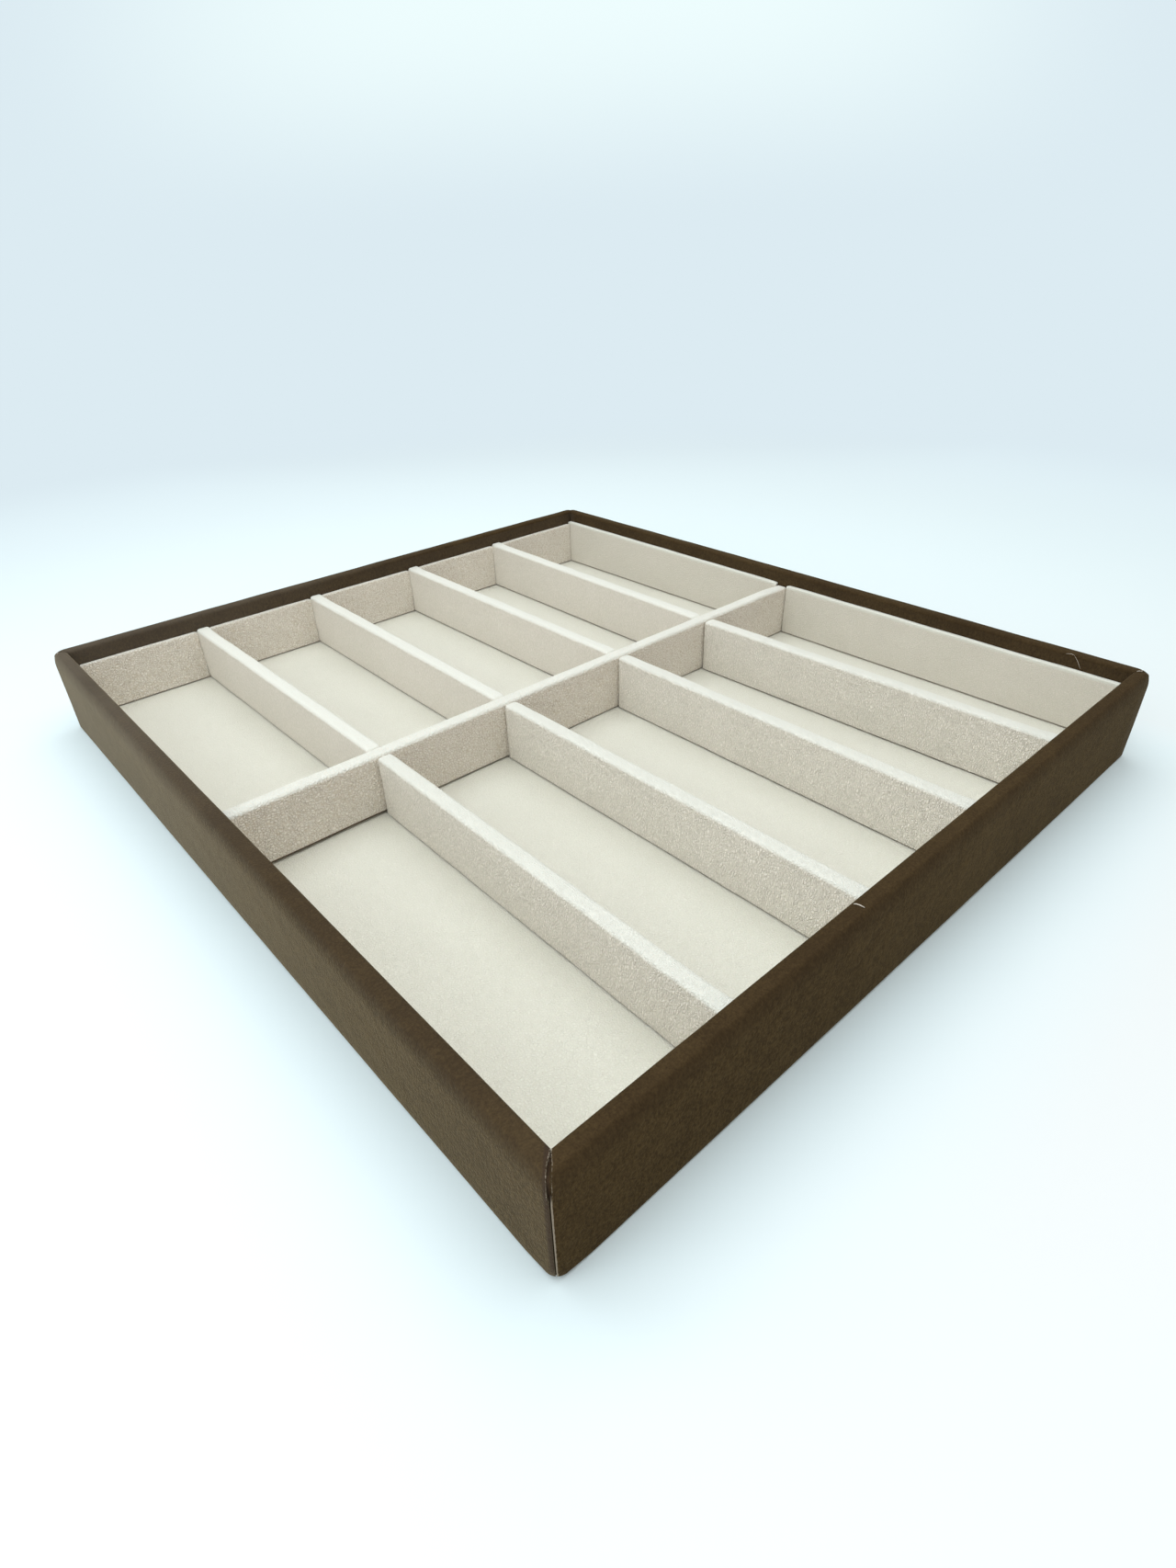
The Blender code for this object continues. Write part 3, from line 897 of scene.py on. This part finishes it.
def make_spine(sizes):
    """The spine's leatherette: a wavy top, low at its right end, and a foot that gapes left."""
    end_drop, left_gape, middle_gape = 0.0007, 0.0007, 0.0005

    def shape(share, level, beside):
        place = share * 2 * HALF_WIDTH
        across = wobble(sizes.handwork, 0.018, place, level * 0.02, 3.1)
        across += beside * wobble(sizes.handwork * 1.1, 0.012, place, 7.3, 0.0) * level
        rise = wobble(sizes.handwork, 0.020, place, beside * 0.003, 5.7) * level
        rise -= end_drop * ease(0.95, 1.0, share) * level
        foot = left_gape * ease(0.25, 0.17, share) + middle_gape * ease(0.43, 0.35, share)
        rise += foot * ease(0.12, 0.0, level)
        return across, rise
    add_cover("spine_leatherette", "spine_cover", sizes, shape, "leatherette")


def row_shape(row, number, sizes):
    """How one row divider's cover is uneven: a hair low at the spine, high and wide at the wall."""
    end_drop, end_lift, end_flare = 0.0003, 0.0003, 0.00022
    seed = number * 3.7 + (row == "back") * 20

    def shape(share, level, beside):
        place = share * HALF_LENGTH
        from_spine = 1 - share if row == "front" else share
        across = wobble(sizes.handwork, 0.016, place, seed, level * 0.02)
        across += beside * wobble(sizes.handwork * 1.2, 0.010, place, seed, 4.0) * level
        rise = wobble(sizes.handwork, 0.019, place, seed, beside * 0.003) * level
        rise -= end_drop * ease(0.03, 0.0, from_spine) * level
        rise += end_lift * ease(0.94, 1.0, from_spine) * level
        across += beside * end_flare * ease(0.95, 0.99, from_spine) * level
        return across, rise
    return shape


def make_row_covers(sizes):
    """Leatherette of the eight row dividers."""
    for row, kind in (("front", "drawn_leatherette"), ("back", "smooth_leatherette")):
        for number in ROW_DIVIDERS:
            add_cover(f"{row}_divider_leatherette_{number}", f"{row}_divider_cover_{number}",
                      sizes, row_shape(row, number, sizes), kind)


# Linings and sheets

def lining_spans(side):
    """Where a wall's linings run along it and their tops, numbered as the CAD numbers them."""
    spans = []
    number = 1
    while f"lining_skin_{side}_{number}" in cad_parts:
        low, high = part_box(f"lining_skin_{side}_{number}")
        span = (low.x, high.x) if runs_along_x(side) else (low.y, high.y)
        if side in ("back", "left"):
            span = (-span[1], -span[0])
        spans.append((number, *span, high.z))
        number += 1
    return spans


def lining_lines(top, sizes):
    """A lining's section, folded over the top of its card: its outer line and its inner one."""
    skin, fold, lap, pitch = 0.0007, 0.0002, 0.0004, 0.0030
    edge = min(sizes.lining_edge, (LINING_FACE - LINING_BACK) / 2)
    outer = [(LINING_BACK, top), (LINING_BACK + lap, top)]
    outer += bend((LINING_FACE - edge, top - edge), (edge, edge), 90, 0, 5)
    outer += [(LINING_FACE, height)
              for height in spread(top - edge - 0.001, STANDING_BOTTOM, pitch)]
    inner = [(LINING_BACK, top - skin), (LINING_BACK + lap, top - skin)]
    inner += bend((LINING_FACE - skin - fold, top - skin - fold), (fold, fold), 90, 0, 5)
    inner += [(LINING_FACE - skin, height) for _, height in outer[len(inner):]]
    return outer, inner


def make_linings(sizes):
    """Leatherette skins of the wall linings, a little uneven and low at their ends."""
    end_drop, into_wall, end_reach, pitch = 0.00035, 0.0002, 0.0009, 0.0028
    for side in WALLS:
        for number, start, end, top in lining_spans(side):
            seed = WALLS.index(side) * 5.3 + number
            lines = lining_lines(top, sizes)
            rings = []
            for along in edge_places(start, end, end_reach, pitch):
                from_end = min(along - start, end - along)
                ring = []
                for line in lines:
                    points = []
                    for inset, height in line:
                        level = (height - STANDING_BOTTOM) / (top - STANDING_BOTTOM)
                        depth = inset + wobble(sizes.handwork * 0.8, 0.020, along, height, seed)
                        rise = wobble(sizes.handwork * 0.9, 0.014, along, seed, 1.7) * level
                        rise -= end_drop * ease(0.0012, 0.0, from_end) * level
                        depth = max(depth, LINING_BACK - into_wall)
                        points.append(wall_point(side, along, depth, height + rise))
                    ring.append(points)
                rings.append(ring)
            add_piece(f"lining_{side}_{number}", *strip_body(rings), "leatherette",
                      [f"lining_skin_{side}_{number}"],
                      "flat_leatherette" if side == "right" else "leatherette")


def sheet_body(low, high, pitch, rise):
    """A flat sheet between two corners, its top and bottom moved by rise(x, y)."""
    across = spread(low.x, high.x, pitch)
    along = spread(low.y, high.y, pitch)
    points = []
    for level in (low.z, high.z):
        points += [Vector((x, y, level + rise(x, y))) for y in along for x in across]
    wide, count = len(across), len(across) * len(along)
    faces = []
    for j in range(len(along) - 1):
        for i in range(wide - 1):
            here = j * wide + i
            under = (here, here + wide, here + wide + 1, here + 1)
            faces += [under, tuple(corner + count for corner in (
                here, here + 1, here + wide + 1, here + wide))]
    border = [j * wide + i for i, j in grid_border(wide - 1, len(along) - 1)]
    return points, faces + border_faces(border, count)


def make_floor():
    """The floor's leatherette, glued down with the faintest waves."""
    sunk, wave, pitch = 0.00002, 0.00014, 0.0045
    sheet = sheet_body(*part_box("floor_cover"), pitch,
                       lambda x, y: -abs(wobble(wave, 0.030, x, y, 2.2)) - sunk)
    add_piece("floor_leatherette", *sheet, "leatherette", ["floor_cover"], "pressed_leatherette")


def make_underside():
    """Paper under the base that covers the turned-in edges of the cloth."""
    lift, wave, pitch = 0.00006, 0.00005, 0.008
    sheet = sheet_body(*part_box("underside_paper"), pitch,
                       lambda x, y: lift + wobble(wave, 0.040, x, y, 8.1))
    add_piece("underside_lining_paper", *sheet, "base_paper", ["underside_paper"])


# Threads

def fibre(path, radius):
    """A loose thread along some points, thinner at both ends."""
    points, faces = [], []
    sides = 6
    for number, point in enumerate(path):
        run = (path[min(number + 1, len(path) - 1)] - path[max(number - 1, 0)]).normalized()
        first = run.orthogonal().normalized()
        second = run.cross(first)
        thin = radius * (0.35 + 0.65 * math.sin(math.pi * (number + 0.5) / len(path)))
        points += [point + (first * math.cos(turn) + second * math.sin(turn)) * thin
                   for turn in [2 * math.pi * step / sides for step in range(sides)]]
    for low in range(0, len(points) - sides, sides):
        faces += band(low, sides)
    faces += [tuple(range(sides)), tuple(range(len(points) - sides, len(points)))]
    return points, faces


def curl(start, way, up, length, lift, sideways, steps=9):
    """Points of a short thread that leaves a place, arches and comes to lie."""
    side = way.cross(up).normalized()
    return [start + way * length * share + up * lift * math.sin(math.pi * share ** 0.8)
            + side * sideways * math.sin(2.2 * share)
            for share in [step / steps for step in range(steps + 1)]]


def make_threads():
    """The loose threads at the rim, as one piece."""
    up = Vector((0, 0, 1))
    points, faces = [], []
    for place, way, length, lift, sideways, radius in THREADS:
        start = Vector(place) + up * RIM_TOP
        path = curl(start, Vector(way).normalized(), up, length, lift, sideways)
        more, sides = fibre(path, radius)
        faces += [tuple(corner + len(points) for corner in face) for face in sides]
        points += more
    add_piece("loose_threads", points, faces, "suede", kind="lint")


def dress_hidden(slot, nodes):
    """Gives CAD nodes that stay their procedural finish."""
    for node in nodes:
        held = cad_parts[node]
        held.data.materials.clear()
        held.data.materials.append(finish(slot))


# Stage

def in_sight(recipe):
    """1 where a surface is seen: straight, in a reflection or through glass."""
    rays = recipe.add("ShaderNodeLightPath").socket.node.outputs
    straight, mirrored, through = (Tone(recipe, rays[name]) for name in (
        "Is Camera Ray", "Is Glossy Ray", "Is Transmission Ray"))
    return recipe.larger(straight, recipe.larger(mirrored, through))


def onward(x, y):
    """How far a place lies along the way that the camera looks."""
    return x * math.sin(CAMERA_HEADING) + y * math.cos(CAMERA_HEADING)


def table_finish(recipe, look):
    """A pale matt table, a painted shadow tint by the tray, cooler behind it, ending in the
    background.
    """
    x, y, _ = recipe.parts(recipe.place())
    away = recipe.maths("SQRT", x * x + y * y)
    far = recipe.step(away, 0.30, 0.75)
    beside = recipe.larger(abs(x) - HALF_WIDTH, abs(y) - HALF_LENGTH)
    # Painted shadow: the cooler tint close round the tray; further along the view the table is
    # cooler too
    shade_and_far = recipe.larger(recipe.step(beside, 0.070, 0.0), recipe.step(onward(x, y), -0.25, 0.30))
    ending = recipe.larger(onward(x, y), away * 0.8)
    haze = recipe.blend(look.table_end, look.haze, recipe.step(ending, 0.42, 0.60))
    table = recipe.add("ShaderNodeBsdfDiffuse",
                       inputs={"Color": recipe.blend(look.table, look.table_shade, shade_and_far)})
    glow = recipe.add("ShaderNodeEmission", inputs={"Color": haze, "Strength": 1.0})
    both = recipe.add("ShaderNodeMixShader", inputs={0: far * in_sight(recipe), 1: table, 2: glow})
    recipe.add("ShaderNodeOutputMaterial", inputs={"Surface": both})


def make_table(look):
    """A wide table top just under the tray."""
    reach, drop = 6.0, -0.00005
    mesh = bpy.data.meshes.new("table")
    mesh.from_pydata([(-reach, -reach, drop), (reach, -reach, drop), (reach, reach, drop),
                      (-reach, reach, drop)], [], [(0, 1, 2, 3)])
    material = bpy.data.materials.new("pale_table")
    material.use_nodes = True
    table_finish(Recipe(material.node_tree), look)
    mesh.materials.append(material)
    table = bpy.data.objects.new("table", mesh)
    bpy.context.scene.collection.objects.link(table)


def make_surroundings(look):
    """A pale room: soft light from all round, and the background colour where it is seen."""
    warm = (1.0, 0.91, 0.82)
    world = bpy.data.worlds.new("pale_room")
    world.use_nodes = True
    recipe = Recipe(world.node_tree)
    x, y, z = recipe.parts(recipe.add("ShaderNodeTexCoord", output="Generated"))
    middle = recipe.step(z, 0.0, 0.17) * recipe.step(onward(x, y), 0.87, 0.985)
    room = recipe.add("ShaderNodeBackground", inputs={"Color": warm, "Strength": look.fill})
    backdrop = recipe.add("ShaderNodeBackground",
                          inputs={"Color": recipe.blend(look.haze, look.upper_haze, middle),
                                  "Strength": 1.0})
    both = recipe.add("ShaderNodeMixShader", inputs={0: in_sight(recipe), 1: room, 2: backdrop})
    recipe.add("ShaderNodeOutputWorld", inputs={"Surface": both})
    bpy.context.scene.world = world


def add_soft_light(name, place, size, power):
    """A square soft light that faces the tray."""
    light = bpy.data.lights.new(name, "AREA")
    light.shape = "SQUARE"
    light.size = size
    light.energy = power
    light.color = DAYLIGHT
    lamp = bpy.data.objects.new(name, light)
    lamp.location = place
    lamp.rotation_euler = (Vector(MIDDLE) - Vector(place)).to_track_quat("-Z", "Y").to_euler()
    bpy.context.scene.collection.objects.link(lamp)


def make_camera():
    """The photograph's view: standing over the near corner with a wide lens."""
    lens = bpy.data.cameras.new("camera")
    lens.lens = 19.396
    lens.sensor_width = 36
    lens.sensor_fit = "AUTO"
    lens.shift_x = 0.00573
    lens.shift_y = 0.00125
    lens.clip_start = 0.01
    lens.clip_end = 50
    camera = bpy.data.objects.new("camera", lens)
    camera.location = (-0.21239, -0.25109, 0.19147)
    camera.rotation_euler = [math.radians(angle) for angle in (56.5717, 1.6629, -42.0119)]
    bpy.context.scene.collection.objects.link(camera)
    bpy.context.scene.camera = camera


# Operators, one for each piece or group of like pieces, and one for the stage

class TRAY_OT_wraps(bpy.types.Operator):
    """Wrap the four wall boards in brown suede"""
    bl_idname = "tray.wraps"
    bl_label = "Suede wraps"

    def execute(self, context):
        make_wraps(context.scene.tray_sizes)
        return {"FINISHED"}


class TRAY_OT_boards(bpy.types.Operator):
    """Make the wall boards inside the suede"""
    bl_idname = "tray.boards"
    bl_label = "Wall boards"

    def execute(self, context):
        make_boards(context.scene.tray_sizes)
        return {"FINISHED"}


class TRAY_OT_corner_patches(bpy.types.Operator):
    """Lay strips of suede behind the seams at the corners"""
    bl_idname = "tray.corner_patches"
    bl_label = "Corner patches"

    def execute(self, context):
        make_corner_patches(context.scene.tray_sizes)
        return {"FINISHED"}


class TRAY_OT_floor(bpy.types.Operator):
    """Cover the floor in leatherette"""
    bl_idname = "tray.floor"
    bl_label = "Floor leatherette"

    def execute(self, context):
        make_floor()
        return {"FINISHED"}


class TRAY_OT_spine(bpy.types.Operator):
    """Cover the long spine in leatherette"""
    bl_idname = "tray.spine"
    bl_label = "Spine leatherette"

    def execute(self, context):
        make_spine(context.scene.tray_sizes)
        return {"FINISHED"}


class TRAY_OT_row_covers(bpy.types.Operator):
    """Cover the eight row dividers in leatherette"""
    bl_idname = "tray.row_covers"
    bl_label = "Row divider leatherette"

    def execute(self, context):
        make_row_covers(context.scene.tray_sizes)
        return {"FINISHED"}


class TRAY_OT_linings(bpy.types.Operator):
    """Line the walls between the dividers"""
    bl_idname = "tray.linings"
    bl_label = "Wall linings"

    def execute(self, context):
        make_linings(context.scene.tray_sizes)
        return {"FINISHED"}


class TRAY_OT_underside(bpy.types.Operator):
    """Paste the paper under the base"""
    bl_idname = "tray.underside"
    bl_label = "Underside paper"

    def execute(self, context):
        make_underside()
        return {"FINISHED"}


class TRAY_OT_threads(bpy.types.Operator):
    """Add the frayed threads and caught fibres"""
    bl_idname = "tray.threads"
    bl_label = "Loose threads"

    def execute(self, context):
        make_threads()
        return {"FINISHED"}


class TRAY_OT_hidden_boards(bpy.types.Operator):
    """Finish the base, the divider cores and the cards that the covers hide"""
    bl_idname = "tray.hidden_boards"
    bl_label = "Hidden boards and cards"

    def execute(self, context):
        shown = [name for name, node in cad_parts.items() if not node.hide_render]
        dress_hidden("board", [name for name in shown if "core" in name or "board" in name])
        dress_hidden("grey_card", [name for name in shown if "card" in name])
        return {"FINISHED"}


class TRAY_OT_stage(bpy.types.Operator):
    """Set the tray on a pale table in soft light, with the camera in place"""
    bl_idname = "tray.stage"
    bl_label = "Table, light and camera"

    def execute(self, context):
        look = context.scene.tray_stage
        make_table(look)
        make_surroundings(look)
        add_soft_light("overhead_light", (-0.05, 0.02, 1.0), 1.3, look.overhead_power)
        add_soft_light("side_light", (-0.62, -0.08, 0.36), 0.5, look.side_power)
        add_soft_light("back_light", (-0.75, 1.15, 0.4), 0.9, look.back_power)
        make_camera()
        context.scene.view_settings.view_transform = "Standard"
        return {"FINISHED"}


STEPS = (TRAY_OT_wraps, TRAY_OT_boards, TRAY_OT_corner_patches, TRAY_OT_floor, TRAY_OT_spine,
         TRAY_OT_row_covers, TRAY_OT_linings, TRAY_OT_underside, TRAY_OT_threads,
         TRAY_OT_hidden_boards, TRAY_OT_stage)
GROUPS = {"tray_sizes": TraySizes, "tray_colours": TrayColours, "tray_stage": TrayStage}


class TRAY_PT_panel(bpy.types.Panel):
    """The tray's pieces, sizes and colours"""
    bl_idname = "TRAY_PT_panel"
    bl_label = "Glasses tray"
    bl_space_type = "VIEW_3D"
    bl_region_type = "UI"
    bl_category = "Tray"

    def draw(self, context):
        for step in STEPS:
            self.layout.operator(step.bl_idname)
        for group, kind in GROUPS.items():
            box = self.layout.box()
            for name in kind.__annotations__:
                box.prop(getattr(context.scene, group), name)


def register():
    for kind in (*GROUPS.values(), *STEPS, TRAY_PT_panel):
        bpy.utils.register_class(kind)
    for group, kind in GROUPS.items():
        setattr(bpy.types.Scene, group, PointerProperty(type=kind))


def unregister():
    for group in GROUPS:
        delattr(bpy.types.Scene, group)
    for kind in (TRAY_PT_panel, *STEPS[::-1], *GROUPS.values()):
        bpy.utils.unregister_class(kind)


def main():
    """Register the add-on and make every piece in order."""
    register()
    for step in STEPS:
        area, operator = step.bl_idname.split(".")
        getattr(getattr(bpy.ops, area), operator)()


if __name__ == "__main__":
    main()
